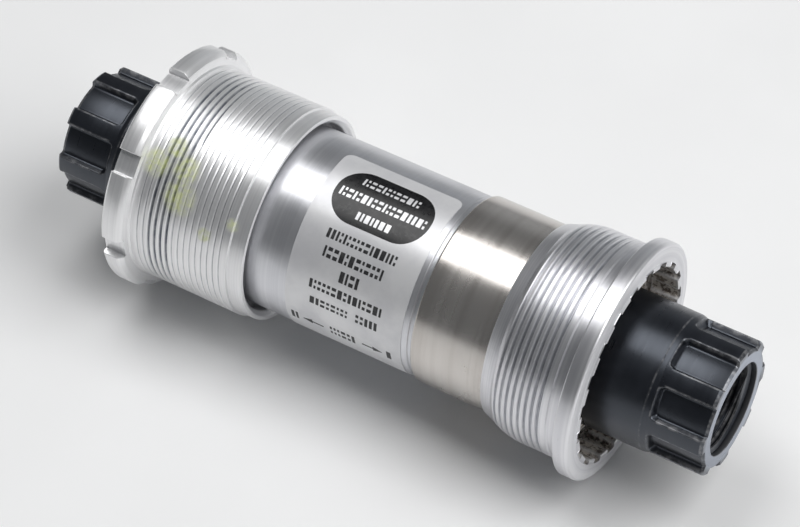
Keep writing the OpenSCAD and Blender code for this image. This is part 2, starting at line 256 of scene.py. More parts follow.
class Skin:
    """One mesh, made of rings of points round the spindle's axis, in millimetres.

    wear and grime are kept at each point for the materials: wear also paints a highlight on bright metal
    edges, and grime up to 1 paints shade. A ring is (point numbers, angles), with its angles rising through
    less than one turn."""

    def __init__(self):
        self.points = []
        self.wear_and_highlight = []
        self.grime_and_shade = []
        self.faces = []

    def add(self, x, angles, radii, wear_and_highlight=0.0, grime_and_shade=0.0):
        """Adds points and returns their numbers."""
        x, angles, radii, wear_and_highlight, grime_and_shade = np.broadcast_arrays(x, angles, radii, wear_and_highlight, grime_and_shade)
        first = len(self.points)
        places = np.stack([x, radii * np.cos(angles), radii * np.sin(angles)], -1)
        self.points += places.reshape(-1, 3).tolist()
        self.wear_and_highlight += wear_and_highlight.ravel().tolist()
        self.grime_and_shade += grime_and_shade.ravel().tolist()
        return np.arange(first, len(self.points)).reshape(x.shape)

    def ring(self, x, angles, radii, wear_and_highlight=0.0, grime_and_shade=0.0):
        return self.add(x, angles, radii, wear_and_highlight, grime_and_shade), np.asarray(angles)

    def round_ring(self, x, radius, columns, wear_and_highlight=0.0, grime_and_shade=0.0):
        return self.ring(x, np.arange(columns) * 2 * math.pi / columns, radius, wear_and_highlight, grime_and_shade)

    def cut_ring(self, x, outline, least=0.0, most=math.inf, grime_and_shade=0.0):
        """A ring of that outline, kept between the radii least and most, and worn where that changes it. On
        bright metal that wear is partly a painted highlight on the cut edge.
        """
        radii = np.clip(outline.radii, least, most)
        wear_and_highlight = np.where(radii != outline.radii, 1.0, outline.wear_and_highlight)
        return self.ring(x, outline.angles, radii, wear_and_highlight, grime_and_shade)

    def join(self, a, b):
        """Quads between two rings with the same columns."""
        a, b = a[0], b[0]
        self.faces += np.stack([a, np.roll(a, -1), np.roll(b, -1), b], -1).tolist()

    def zip(self, a, b):
        """Triangles between two rings whose columns differ."""
        (a, a_angles), (b, b_angles) = a, b
        turn = 2 * math.pi
        start = a_angles[0]
        offset = np.mod(b_angles[0] - start + math.pi, turn) - math.pi
        b_angles = b_angles - b_angles[0] + start + offset
        i = j = 0
        while i < len(a) or j < len(b):
            next_a = a_angles[i + 1] if i + 1 < len(a) else start + turn
            next_b = b_angles[j + 1] if j + 1 < len(b) else b_angles[0] + turn
            if j == len(b) or (i < len(a) and next_a <= next_b):
                self.faces.append((a[i], a[(i + 1) % len(a)], b[j % len(b)]))
                i += 1
            else:
                self.faces.append((a[i % len(a)], b[(j + 1) % len(b)], b[j]))
                j += 1

    def chain(self, rings):
        """Joins each ring to the next, whatever their columns."""
        for a, b in zip(rings, rings[1:]):
            same = len(a[0]) == len(b[0]) and np.allclose(a[1], b[1], atol=0.2)
            (self.join if same else self.zip)(a, b)

    def profile(self, points, columns):
        """Round rings at each point (x, r, wear) of an outline."""
        return [self.round_ring(x, r, columns, wear_and_highlight) for x, r, wear_and_highlight in points]

    def helix(self, start, turns, pitch, groove, crest, depth, columns, hand):
        """A threaded surface from x = start, which is one pitch longer than its turns.

        groove lists (part of the pitch, part of the depth, wear and painted highlight), crest(x) is the
        radius outside the grooves and depth(turn) the groove's depth, which is negative in a bore. A
        shallower groove is narrower too.
        hand is 1 for a right-hand thread and -1 for a left-hand one. Returns the rings at its two ends."""
        per_pitch = len(groove)
        middle = max(groove, key=lambda point: point[1])[0]
        rows = per_pitch * turns + 1
        part = np.arange(columns) / columns
        grid = np.zeros((rows, columns), int)
        for row in range(rows):
            into, deep, wear_and_highlight = groove[row % per_pitch]
            full = depth(row // per_pitch + into + part)
            if 0 < row < rows - 1 and into <= middle * 2:
                into = middle + (into - middle) * np.sqrt(np.clip(np.abs(full) / GROOVE_DEPTH, 0.04, 1))
            x = start + pitch * (row // per_pitch + into + part)
            sunk = full * deep
            # Painted shade: a point's grime is its depth into the groove, so the deeper floor is painted
            # darker
            grime_and_shade = np.clip(sunk, 0, None) / GROOVE_DEPTH
            grid[row] = self.add(x, SEAM + hand * 2 * math.pi * part, crest(x) - sunk, wear_and_highlight, grime_and_shade)
        self.faces += np.stack(
            [grid[:-1, :-1], grid[:-1, 1:], grid[1:, 1:], grid[1:, :-1]], -1).reshape(-1, 4).tolist()
        low, high = grid[:-per_pitch - 1, -1], grid[1:-per_pitch, -1]
        self.faces += np.stack([low, grid[per_pitch:-1, 0], grid[per_pitch + 1:, 0], high], -1).tolist()
        bottom = np.concatenate([grid[0], grid[per_pitch:0:-1, 0]])
        bottom_part = np.concatenate([part, np.full(per_pitch, 1 - 1e-6)])
        top = np.concatenate([grid[-1], grid[-2:-per_pitch - 2:-1, -1]])
        top_part = np.concatenate([part, np.full(per_pitch, part[-1])])
        ends = []
        for loop, loop_part in ((bottom, bottom_part), (top, top_part)):
            angles = SEAM + hand * 2 * math.pi * loop_part
            ends.append((loop, angles) if hand > 0 else (loop[::-1], angles[::-1]))
        return ends

    def build(self, name, body, material, slot, *nodes):
        """Makes the piece, which rides on body, takes material and stands for the CAD nodes. slot is not
        used.
        """
        mesh = bpy.data.meshes.new(name)
        faces = [tuple(map(int, face)) for face in self.faces]
        mesh.from_pydata((np.array(self.points) * MM).tolist(), [], faces)
        for label, values in (("wear_and_highlight", self.wear_and_highlight), ("grime_and_shade", self.grime_and_shade)):
            mesh.attributes.new(label, "FLOAT", "POINT").data.foreach_set("value", values)
        outward = bmesh.new()
        outward.from_mesh(mesh)
        bmesh.ops.recalc_face_normals(outward, faces=outward.faces)
        outward.to_mesh(mesh)
        outward.free()
        mesh.shade_smooth()
        mesh.set_sharp_from_angle(angle=math.radians(32))
        mesh.materials.append(material)
        piece = bpy.data.objects.new(name, mesh)
        bpy.context.scene.collection.objects.link(piece)
        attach(piece, body)
        if nodes:
            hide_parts(*nodes)
        return piece


# ---- materials ----

class Finish:
    """A material being built. Each method adds one node and returns its output."""

    def __init__(self, name):
        self.material = bpy.data.materials.new(name)
        self.material.use_nodes = True
        self.tree = self.material.node_tree
        self.tree.nodes.clear()
        self.place = self.add("ShaderNodeTexCoord").outputs["Object"]

    def add(self, kind, sockets=None, **settings):
        node = self.tree.nodes.new(kind)
        for key, value in settings.items():
            setattr(node, key, value)
        for key, value in (sockets or {}).items():
            if isinstance(value, bpy.types.NodeSocket):
                self.tree.links.new(value, node.inputs[key])
            else:
                node.inputs[key].default_value = value
        return node

    def math(self, operation, a, b=0.0, c=0.0):
        return self.add("ShaderNodeMath", {0: a, 1: b, 2: c}, operation=operation).outputs[0]

    def attribute(self, name):
        return self.add("ShaderNodeAttribute", attribute_name=name).outputs["Fac"]

    def noise(self, scale, detail=3.0, roughness=0.55):
        """Even noise, with scale in waves per millimetre."""
        return self.add("ShaderNodeTexNoise", {
            "Vector": self.place, "Scale": scale / MM, "Detail": detail, "Roughness": roughness,
        }).outputs["Fac"]

    def turned(self, along, around, detail=2.0):
        """Noise drawn out round the axis, as a lathe leaves it, in waves per millimetre along and around."""
        parts = self.add("ShaderNodeSeparateXYZ", {0: self.place}).outputs
        radius = self.math("SQRT", self.math("ADD", self.math("MULTIPLY", parts[1], parts[1]),
                                             self.math("MULTIPLY", parts[2], parts[2])))
        spot = self.add("ShaderNodeCombineXYZ", {
            0: self.math("MULTIPLY", parts[0], along / MM),
            1: self.math("MULTIPLY", parts[1], around / MM),
            2: self.math("MULTIPLY", parts[2], around / MM),
        }).outputs[0]
        return self.add("ShaderNodeTexNoise", {
            "Vector": spot, "W": self.math("MULTIPLY", radius, along / MM), "Scale": 1.0, "Detail": detail,
        }, noise_dimensions="4D").outputs["Fac"]

    def facing_along(self):
        """1 where the surface faces straight along the spindle and 0 where it faces away from the axis."""
        normal = self.add("ShaderNodeTexCoord").outputs["Normal"]
        return self.math("ABSOLUTE", self.add("ShaderNodeSeparateXYZ", {0: normal}).outputs[0])

    def ramp(self, value, low, high, out_low=0.0, out_high=1.0):
        return self.add("ShaderNodeMapRange", {
            "Value": value, "From Min": low, "From Max": high, "To Min": out_low, "To Max": out_high,
        }, interpolation_type="SMOOTHSTEP").outputs[0]

    def mix(self, factor, a, b):
        """Colour a where factor is 0 and b where it is 1."""
        sockets = {0: factor}
        for key, colour in ((6, a), (7, b)):
            sockets[key] = colour if isinstance(colour, bpy.types.NodeSocket) else (*colour, 1.0)
        return self.add("ShaderNodeMix", sockets, data_type="RGBA").outputs[2]

    def blend(self, factor, a, b):
        """Number a where factor is 0 and b where it is 1."""
        return self.add("ShaderNodeMix", {0: factor, 2: a, 3: b}, data_type="FLOAT").outputs[0]

    def bump(self, height, microns, over=None):
        """The normal of a surface whose height runs over that many microns."""
        sockets = {"Height": height, "Distance": microns * 1e-6}
        if over is not None:
            sockets["Normal"] = over
        return self.add("ShaderNodeBump", sockets).outputs[0]

    def spot(self, x, angle, radius, size):
        """1 at a place on the surface, fading to 0 at size millimetres from it."""
        turn = math.radians(angle)
        centre = Vector((x, radius * math.cos(turn), radius * math.sin(turn))) * MM
        far = self.add("ShaderNodeVectorMath", {0: self.place, 1: centre}, operation="DISTANCE")
        return self.ramp(far.outputs["Value"], 0.0, size * MM, 1.0, 0.0)

    def shade(self, **sockets):
        """Ends the material with the main shader. Names like base_color stand for Base Color."""
        named = {}
        for key, value in sockets.items():
            if isinstance(value, tuple):
                value = (*value, 1.0)
            named[self.socket_name(key)] = value
        shader = self.add("ShaderNodeBsdfPrincipled", named)
        self.add("ShaderNodeOutputMaterial", {"Surface": shader.outputs[0]})
        return self.material

    @staticmethod
    def socket_name(key):
        return {"ior": "IOR", "specular": "Specular IOR Level"}.get(key, key.replace("_", " ").title())


def machined(name, bright, dull, smooth_to, rough_to, lines=4.0, microns=3.0, recess_shade=0.0, blotch=0.3):
    """Bare metal off the lathe: fine rings, uneven sheen, painted shade in the grooves, grease, and bright
    edges that are wear and painted highlight.
    """
    finish = Finish(name)
    fine = finish.turned(lines, 0.012)
    broad = finish.turned(lines / 7, 0.006, 1.0)
    patches = finish.noise(0.12, 4.0)
    wear_and_highlight = finish.attribute("wear_and_highlight")
    grime_and_shade = finish.attribute("grime_and_shade")
    sheen = finish.blend(0.5, fine, broad)
    colour = finish.mix(finish.ramp(sheen, 0.35, 0.65), dull, bright)
    dark = tuple(part * 0.55 for part in dull)
    colour = finish.mix(finish.math("MULTIPLY", finish.ramp(patches, 0.5, 0.75), blotch), colour, dark)
    # Painted shade: groove floors, the tool mouth and the flange corner darken towards a bluish grey by their
    # grime up to 1, a little unevenly
    uneven = finish.ramp(finish.noise(0.5, 4.0), 0.35, 0.65, 0.7, 1.0)
    recess_shade_mask = finish.math("MULTIPLY", finish.ramp(grime_and_shade, 0.15, 0.65), uneven)
    colour = finish.mix(finish.math("MULTIPLY", recess_shade_mask, recess_shade), colour, (0.11, 0.13, 0.17))
    mottled = finish.ramp(finish.noise(1.1, 4.0, 0.6), 0.40, 0.56)
    grease = finish.mix(mottled, (0.17, 0.14, 0.115), (0.74, 0.70, 0.65))
    colour = finish.mix(finish.ramp(grime_and_shade, 1.0, 1.8), colour, grease)
    # Lighter along marked edges: partly wear, partly a painted highlight
    colour = finish.mix(finish.math("MULTIPLY", wear_and_highlight, 0.6), colour, bright)
    roughness = finish.blend(finish.ramp(sheen, 0.3, 0.7), smooth_to, rough_to)
    roughness = finish.math("ADD", roughness, finish.ramp(patches, 0.4, 0.8, 0.0, 0.08))
    normal = finish.bump(fine, microns)
    return finish, colour, roughness, normal


def cup_aluminium(name, bright, dull, metallic, recess_shade, smudges=()):
    """Satin aluminium, with yellow-green paint caught on the thread at smudges (x, angle, size)."""
    finish, colour, roughness, normal = machined(
        name, bright, dull, 0.27, 0.36, lines=3.0, microns=3.0, recess_shade=recess_shade, blotch=0.12)
    facing = finish.math("MULTIPLY", finish.ramp(finish.facing_along(), 0.9, 0.99), 0.75)
    greased = finish.math("MULTIPLY", finish.ramp(finish.attribute("grime_and_shade"), 1.0, 1.8), 0.8)
    for dulled in (facing, greased):
        metallic = finish.math("SUBTRACT", metallic, finish.math("MULTIPLY", dulled, metallic))
    roughness = finish.math("ADD", roughness, finish.math("MULTIPLY", facing, 0.15))
    if smudges:
        paint = 0.0
        for x, angle, size in smudges:
            paint = finish.math("MAXIMUM", finish.spot(x, angle, THREAD_R, size), paint)
        flakes = finish.ramp(finish.noise(0.9, 5.0, 0.7), 0.36, 0.64, 0.25, 1.0)
        amount = finish.math("MULTIPLY", finish.math("MULTIPLY", finish.ramp(paint, 0.0, 0.7), flakes), 0.62)
        colour = finish.mix(amount, colour, (0.63, 0.69, 0.21))
        roughness = finish.blend(amount, roughness, 0.6)
        metallic = finish.math("SUBTRACT", metallic, finish.math("MULTIPLY", amount, metallic))
    return finish.shade(base_color=colour, metallic=metallic, roughness=roughness, normal=normal)


def satin_steel():
    """The ground tube of the cartridge."""
    finish, colour, roughness, normal = machined(
        "satin_steel", (0.69, 0.695, 0.72), (0.62, 0.625, 0.655), 0.28, 0.32,
        lines=2.5, microns=0.9, blotch=0.15)
    normal = finish.bump(finish.noise(2.2, 3.0), 0.8, normal)
    return finish.shade(base_color=colour, metallic=0.86, roughness=roughness, normal=normal)


def polished_steel():
    """The smoother, slightly warm steel of the bearing housing."""
    finish, colour, roughness, normal = machined(
        "polished_steel", (0.63, 0.60, 0.57), (0.55, 0.515, 0.485), 0.19, 0.24,
        lines=2.0, microns=0.6, blotch=0.2)
    return finish.shade(base_color=colour, metallic=0.90, roughness=roughness, normal=normal)


def black_steel():
    """Black oxide on ground steel, rubbed bright along its edges and at the turned ends."""
    finish = Finish("black_steel")
    fine = finish.turned(3.0, 0.08)
    patches = finish.noise(0.3, 4.0, 0.5)
    scuffs = finish.ramp(finish.noise(0.9, 4.0, 0.6), 0.42, 0.62, 0.15, 0.8)
    rubbed = finish.math("MULTIPLY", finish.attribute("wear_and_highlight"), scuffs)
    bare = finish.attribute("grime_and_shade")
    bright = finish.math("MAXIMUM", finish.math("MULTIPLY", rubbed, 0.6), bare)
    black = finish.mix(finish.ramp(patches, 0.3, 0.7), (0.0018, 0.0022, 0.0036), (0.0042, 0.0047, 0.0070))
    colour = finish.mix(bright, black, (0.45, 0.45, 0.46))
    rougher = finish.ramp(patches, 0.4, 0.75, 0.0, 0.04)
    roughness = finish.math("ADD", finish.ramp(fine, 0.3, 0.7, 0.27, 0.33), rougher)
    normal = finish.bump(finish.noise(2.5, 2.0), 0.5, finish.bump(fine, 0.5))
    return finish.shade(base_color=colour, metallic=bright, roughness=roughness, ior=1.76,
                        specular_tint=(0.80, 0.87, 1.0), normal=normal)


def label_foil():
    """Silver foil with a faint grain."""
    finish = Finish("label_foil")
    grain = finish.noise(3.0, 2.0)
    patches = finish.noise(0.15, 4.0)
    colour = finish.mix(finish.ramp(patches, 0.35, 0.7), (0.80, 0.80, 0.81), (0.68, 0.68, 0.70))
    roughness = finish.ramp(patches, 0.3, 0.7, 0.34, 0.42)
    normal = finish.bump(grain, 1.5)
    return finish.shade(base_color=colour, metallic=0.42, roughness=roughness, normal=normal)


def ink(name, dark, light, roughness):
    """Printed ink, a little uneven and rubbed."""
    finish = Finish(name)
    rub = finish.noise(1.2, 5.0, 0.7)
    colour = finish.mix(finish.ramp(rub, 0.45, 0.75), dark, light)
    gloss = finish.ramp(rub, 0.3, 0.7, roughness, roughness + 0.12)
    return finish.shade(base_color=colour, metallic=0.0, roughness=gloss, specular=0.5)


def greasy_cover():
    """Pressed steel under old brown grease."""
    finish = Finish("greasy_cover")
    thick = finish.noise(0.45, 5.0, 0.65)
    bare = finish.ramp(thick, 0.42, 0.56)
    colour = finish.mix(bare, (0.18, 0.145, 0.11), (0.74, 0.69, 0.62))
    roughness = finish.ramp(finish.noise(1.4, 3.0), 0.3, 0.7, 0.10, 0.32)
    normal = finish.bump(finish.noise(1.1, 4.0), 60.0)
    return finish.shade(base_color=colour, metallic=finish.math("MULTIPLY", bare, 0.5), roughness=roughness,
                        coat_weight=0.6, coat_roughness=0.08, normal=normal)


def bearing_metal(name, bright, dull, rough):
    """Hardened and ground steel, with a film of grease."""
    finish, colour, roughness, normal = machined(
        name, bright, dull, rough, rough + 0.08, lines=3.0, microns=0.8)
    return finish.shade(base_color=colour, metallic=1.0, roughness=roughness, coat_weight=0.3,
                        coat_roughness=0.15, normal=normal)


def moulded(name, dark, light, rough, microns, specular=0.5):
    """A moulded part: fine even texture with slow changes of shade."""
    finish = Finish(name)
    slow = finish.noise(0.25, 3.0)
    grain = finish.noise(5.0, 2.0)
    colour = finish.mix(finish.ramp(slow, 0.3, 0.7), dark, light)
    roughness = finish.ramp(grain, 0.3, 0.7, rough, rough + 0.12)
    normal = finish.bump(grain, microns)
    return finish.shade(base_color=colour, roughness=roughness, specular=specular, normal=normal)


# ---- cartridge ----

def tube_piece(name, corners, columns, material, slot, *nodes):
    """A closed turned piece that rides on the cartridge."""
    skin = Skin()
    rings = skin.profile(rounded(corners), columns)
    skin.chain(rings + rings[:1])
    return skin.build(name, "cartridge", material, slot, *nodes)


def main_shell(material):
    """The main tube, with a shallow groove just before the bearing housing and a snap ring groove inside."""
    floor_r = SHELL_R - 0.25
    slope = 0.2
    groove_start = HOUSING_START - 0.95
    corners = [
        (SHELL_START, SEAT_R, 0.1), (SHELL_START, SHELL_R, 0.3), (groove_start, SHELL_R, 0.12),
        (groove_start + slope, floor_r, 0.1), (HOUSING_START - slope, floor_r, 0.1),
        (HOUSING_START, SHELL_R, 0.12), (JOINT_END, SHELL_R, 0.1), (JOINT_END, SEAT_R, 0.1),
        (-SNAP_X, SEAT_R, 0), (-SNAP_X, SNAP_R, 0), (-SNAP_X - SNAP_WIDTH, SNAP_R, 0),
        (-SNAP_X - SNAP_WIDTH, SEAT_R, 0),
    ]
    return tube_piece("main_shell_ground", corners, TUBE_COLUMNS, material, "satin_steel", "main_shell")


def bearing_housing(material):
    """The drive side housing, which laps over the end of the main tube."""
    corners = [
        (HOUSING_START, HOUSING_LAP_R, 0), (HOUSING_START, HOUSING_R, 0.35), (CARTRIDGE_END, HOUSING_R, 0.3),
        (CARTRIDGE_END, SEAT_R, 0.15), (SNAP_X + SNAP_WIDTH, SEAT_R, 0), (SNAP_X + SNAP_WIDTH, SNAP_R, 0),
        (SNAP_X, SNAP_R, 0), (SNAP_X, SEAT_R, 0), (JOINT_END + JOINT_GAP, SEAT_R, 0),
        (JOINT_END + JOINT_GAP, HOUSING_LAP_R, 0),
    ]
    return tube_piece("bearing_housing_polished", corners, TUBE_COLUMNS, material, "polished_steel",
                      "drive_bearing_housing")


def dust_cover(side, material):
    """The pressed ring that closes one end: a turned-up rim, a step and a rolled inner edge."""
    outer_r = 13.97
    inner_r = 11.36
    web = COVER_START + 0.4
    step = COVER_START + 0.55
    corners = [
        (COVER_START, inner_r, 0.1), (COVER_START, outer_r, 0.1), (COVER_END, outer_r, 0.12),
        (COVER_END, 13.5, 0.12), (web, 13.4, 0.15), (web, 12.7, 0.12),
        (step, 12.55, 0.12), (step, 11.7, 0.12), (COVER_START + 0.3, inner_r, 0.1),
    ]
    if side == "left":
        corners = [(-x, r, fillet) for x, r, fillet in reversed(corners)]
    columns = 192
    return tube_piece(
        f"{side}_dust_cover_pressed", corners, columns, material, "cover_steel", f"{side}_dust_cover")


# ---- spindle ----

def spline_end(skin, outline, side):
    """Rings of one end's lands, from the plain spindle to the edge of the end face."""
    land_angle = 2 * math.pi / LANDS
    from_land = np.abs(np.mod(outline.angles - LAND_TURN + land_angle / 2, land_angle) - land_angle / 2)
    from_wall = from_land * FLOOR_R - LAND_HALF
    corner_r = 0.6
    into_corner = np.clip(1 - from_wall / corner_r, 0, 1)
    groove_start = SPLINE_START + 0.05 + corner_r * (1 - np.sqrt(1 - into_corner ** 2))
    slope = 0.75
    rings = []
    for x in np.linspace(SPLINE_START, SPLINE_START + 1.6, 18):
        into = np.clip((x - groove_start) / slope, 0, 1)
        amount = smooth(into)
        lip = np.exp(-((x - groove_start) / 0.12) ** 2) * (outline.radii < LAND_R - 0.2)
        radii = LAND_R + (outline.radii - LAND_R) * amount
        rings.append(skin.ring(side * x, outline.angles, radii, np.maximum(outline.wear_and_highlight * amount, lip * 0.8)))
    chamfer = 0.45
    for x, drop, wear_and_highlight in ((SPLINE_START + 4, 0, 0), (SPINDLE_END - chamfer - 0.08, 0, 0),
                          (SPINDLE_END - chamfer + 0.04, 0.05, 1), (SPINDLE_END - 0.08, chamfer - 0.06, 0.6),
                          (SPINDLE_END, chamfer, 1)):
        radii = outline.radii - drop * np.where(outline.radii > FLOOR_R + 0.3, 1.0, 0.6)
        rings.append(skin.ring(side * x, outline.angles, radii, np.maximum(outline.wear_and_highlight, wear_and_highlight)))
    return rings


def spindle_half(skin, outline, side):
    """The rings of one half, from the middle of the outside, round the end, to the middle of the bore."""
    columns = len(outline.angles)
    track = [BALL_X + BALL_TRACK_R * math.cos(math.radians(angle)) for angle in range(138, 41, -12)]
    body = [(0, WAIST_R, 0), (WAIST_END, WAIST_R, 0.8), (WAIST_END + 2, SPINDLE_R, 0.8)]
    body += [(x, BALL_PITCH_R - math.sqrt(BALL_TRACK_R ** 2 - (x - BALL_X) ** 2), 0) for x in track]
    body += [
        (SPLINE_START - 0.95, SPINDLE_R, 0.2), (SPLINE_START - 0.12, LAND_R, 0.1),
        (SPLINE_START - 0.04, LAND_R, 0),
    ]
    rings = skin.profile([(side * x, r, wear_and_highlight * 0.5) for x, r, wear_and_highlight in rounded(body, closed=False)], columns)
    rings += spline_end(skin, outline, side)
    thread_start = SPINDLE_END - BOLT_MOUTH
    bolt_mouth = [
        (SPINDLE_END, FLOOR_R - 0.45, 0.9), (SPINDLE_END, BOLT_R + 0.1, 0.9),
        (SPINDLE_END - 0.1, BOLT_R, 0.2), (thread_start + 0.35, BOLT_R, 0.0),
        (thread_start + 0.05, BOLT_MINOR_R + 0.06, 0.0), (thread_start, BOLT_MINOR_R, 0.3),
    ]
    rings += [skin.round_ring(side * x, radius, columns, 0.0, bare) for x, radius, bare in bolt_mouth]
    skin.chain(rings)

    def depth(turn):
        return (BOLT_MINOR_R - BOLT_R) * smooth(turn / 0.3) * smooth((BOLT_TURNS + 0.6 - turn) / 0.5)

    helix_start = thread_start - 0.05
    outer, inner = skin.helix(side * helix_start, BOLT_TURNS, -side * BOLT_PITCH, thread_groove(0.8),
                              lambda x: np.full(np.shape(x), BOLT_MINOR_R), depth, 160, -side)
    skin.zip(rings[-1], outer)
    thread_end = helix_start - (BOLT_TURNS + 1) * BOLT_PITCH
    bore = [skin.round_ring(side * x, radius, 96) for x, radius in (
        (thread_end - 0.1, BOLT_MINOR_R), (thread_end - 0.7, HOLLOW_R), (0, HOLLOW_R))]
    skin.chain([inner] + bore)
    return rings[0], bore[-1]


def spindle(material):
    skin = Skin()
    outline = Outline(LANDS, LAND_TURN, LAND_HALF, LAND_R, FLOOR_R, (0.16, 0.3), 0, 31)
    right_outside, right_bore = spindle_half(skin, outline, 1)
    left_outside, left_bore = spindle_half(skin, outline, -1)
    skin.join(left_outside, right_outside)
    skin.join(left_bore, right_bore)
    return skin.build("spindle_black", "spindle", material, "black_steel", "spindle")


# ---- cups ----

def thread_groove(width):
    """One V groove with softened corners, as wide as that part of the pitch, and the crest after it."""
    # The third number of each point marks the groove's shoulders as worn, which on bright metal also paints a
    # highlight
    return [
        (0.0, 0.0, 1), (0.05, 0.14, 1), (width / 2 - 0.08, 0.92, 0), (width / 2, 1.0, 0),
        (width / 2 + 0.08, 0.92, 0), (width - 0.05, 0.14, 1), (width, 0.0, 1), ((width + 1) / 2, 0.0, 0),
    ]


def tool_mouth():
    return Outline(TEETH, TOOTH_TURN, SLOT_HALF, TOOTH_ROOT_R, TOOTH_TIP_R, (0.2, 0.18), 1, 13)


# The grime of a surface under grease. Up to 1 the grime paints shade, darkest in the deepest groove floors.
GREASED = 2.0

# The edge of a tool mouth, which is a small lip: how far inward from the face (outward if negative), the
# least radius there, and the grime, which paints shade towards the mouth up to 1 and adds grease above 1
MOUTH_EDGE = [
    (0.0, TOOTH_ROOT_R + 0.12, 0.0), (-0.05, TOOTH_ROOT_R + 0.05, 1.0), (-0.2, TOOTH_TIP_R + 0.2, 1.3),
    (-0.1, TOOTH_TIP_R + 0.04, 1.4), (0.05, TOOTH_TIP_R, 1.5), (0.9, TOOTH_TIP_R, GREASED),
]


def right_cup(material):
    """The drive side cup. It has a conical nose, a crowned short thread, a flange and the tool mouth."""
    skin = Skin()

    def crest(x):
        before = np.clip(CROWN_FROM - np.asarray(x), 0, None)
        return THREAD_R - CROWN_R + np.sqrt(CROWN_R ** 2 - before ** 2)

    def depth(turn):
        return GROOVE_DEPTH * smooth(turn / 0.5) * smooth((RIGHT_TURNS + 0.4 - turn) / 0.3)

    first_r = float(crest(RIGHT_THREAD))
    nose = skin.profile(rounded([
        (RIGHT_START, RIGHT_BORE_R, 0), (RIGHT_START, NOSE_R, 0.14),
        (RIGHT_THREAD - 0.12, first_r - 0.12, 0.1), (RIGHT_THREAD - 0.02, first_r, 0),
    ], closed=False), THREAD_COLUMNS)
    skin.chain(nose)
    low, high = skin.helix(
        RIGHT_THREAD, RIGHT_TURNS, PITCH, thread_groove(0.62), crest, depth, THREAD_COLUMNS, -1)
    skin.zip(nose[-1], low)
    relief_x = RIGHT_THREAD + (RIGHT_TURNS + 1) * PITCH
    back = rounded([
        (relief_x, THREAD_R, 0), (relief_x + 0.25, RELIEF_R, 0.1), (RIGHT_FACE, RELIEF_R, 0.2),
        (RIGHT_FACE, RIGHT_FLANGE_R, 0.3), (RIGHT_OUTER - 0.3, RIGHT_FLANGE_R, 0.25),
        (RIGHT_OUTER, RIGHT_FLANGE_R - 0.35, 0.2), (RIGHT_OUTER, TOOTH_ROOT_R + 0.8, 0),
    ], closed=False)
    flange = skin.profile(back, CUP_COLUMNS)
    skin.zip(high, flange[0])
    mouth = tool_mouth()
    for inward, least, grime_and_shade in MOUTH_EDGE:
        flange.append(skin.cut_ring(RIGHT_OUTER - inward, mouth, least, grime_and_shade=grime_and_shade))
    flange.append(skin.cut_ring(CARTRIDGE_END + 0.3, mouth, grime_and_shade=GREASED))
    recess_r = TOOTH_ROOT_R - 0.2
    for x, radius in ((CARTRIDGE_END + 0.1, recess_r), (CARTRIDGE_END - 0.2, recess_r),
                      (CARTRIDGE_END - 0.4, RIGHT_BORE_R), (RIGHT_START, RIGHT_BORE_R)):
        flange.append(skin.round_ring(x, radius, CUP_COLUMNS, grime_and_shade=GREASED))
    skin.chain(flange)
    skin.zip(flange[-1], nose[0])
    return skin.build("right_cup_turned", "cartridge", material, "cup_aluminium", "right_cup")


def left_thread_depth(turn):
    """The groove is deep over a few turns near the flange, ends there abruptly, and is shallow elsewhere."""
    deep_from = 2.0
    deep_to = 6.73
    shallow_part = 0.44
    deep = smooth((deep_to - turn) / 0.04) * smooth((turn - deep_from) / 0.3)
    shallow = shallow_part * smooth(turn / 0.5) * smooth((LEFT_TURNS + 0.8 - turn) / 0.5)
    return GROOVE_DEPTH * np.maximum(deep, shallow)


